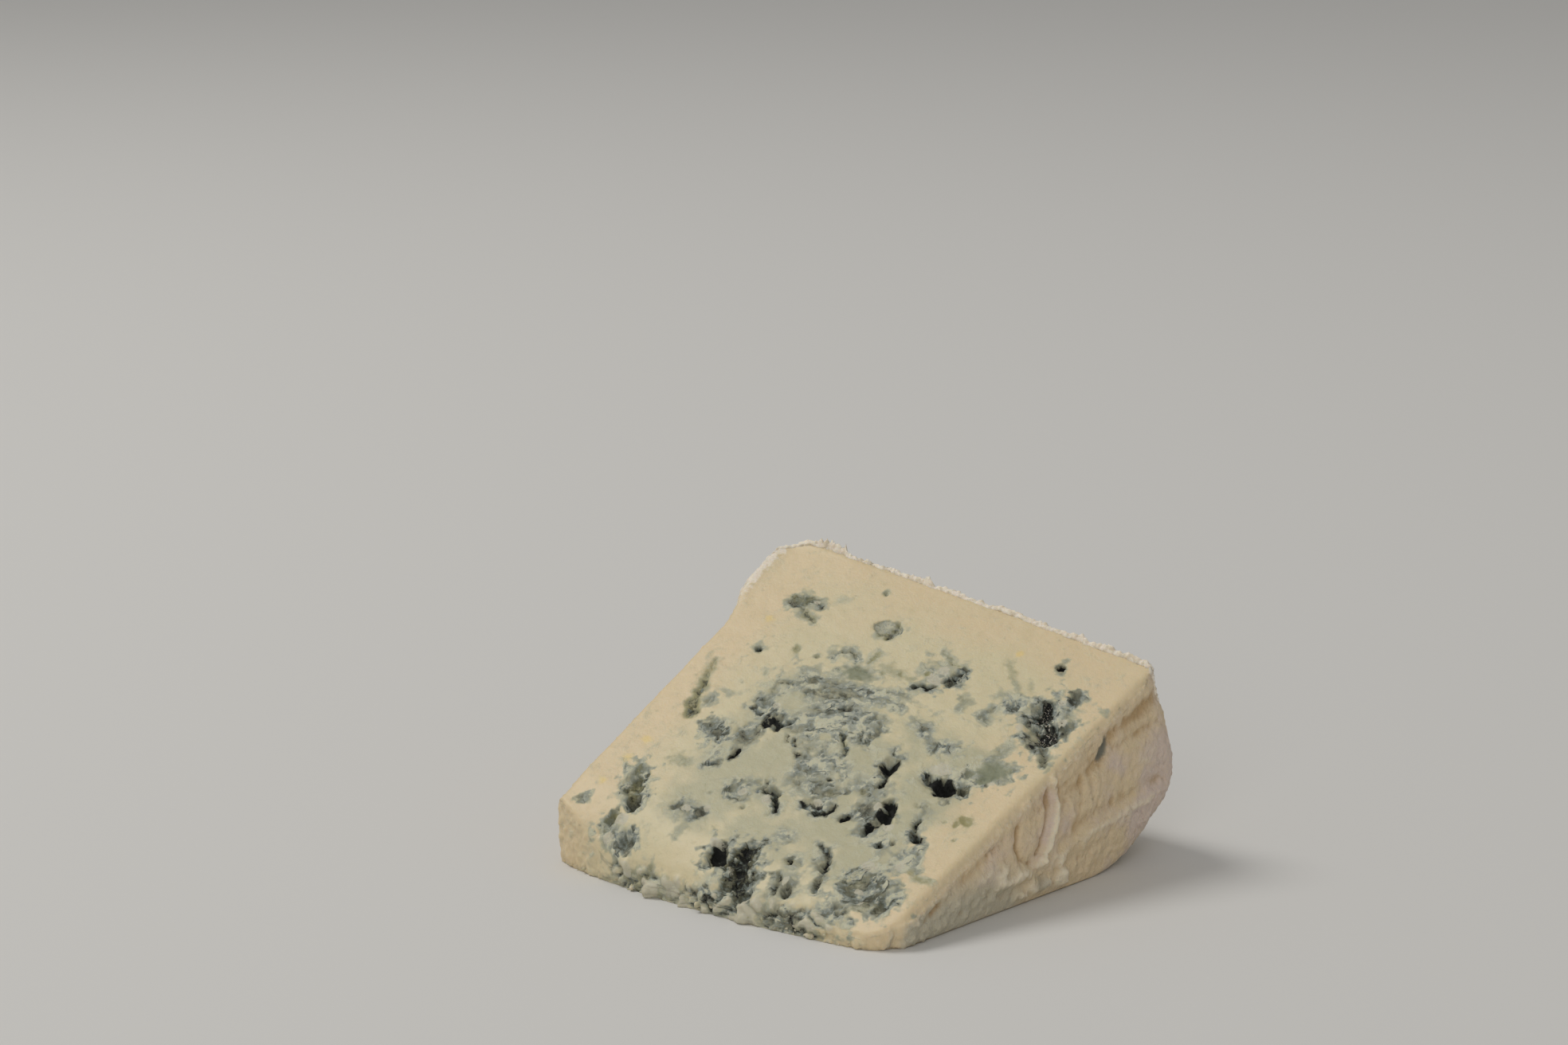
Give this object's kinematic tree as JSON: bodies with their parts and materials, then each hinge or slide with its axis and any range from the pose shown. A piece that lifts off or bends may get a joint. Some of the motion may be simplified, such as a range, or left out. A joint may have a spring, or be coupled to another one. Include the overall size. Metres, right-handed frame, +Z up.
{
  "type": "blue cheese wedge",
  "caption": "Loose knife-cut wedge of blue cheese lying on one cut face, with mould pockets in the sloping face and wrinkled rind at its ends and rim.",
  "frame": {"origin": "on the flat underside, in the middle of the wedge's box", "axes": "+X across the whole cheese's height, from one flat face to the other; +Y from the thin tip to the thick rim; +Z up from the face it lies on"},
  "size_m": [0.0902, 0.0955, 0.0531],
  "materials": {
    "paste": "moist, soft blue cheese paste with a pale natural rind"
  },
  "bodies": {
    "root": {"cheese_wedge": "paste"}
  },
  "joints": []
}
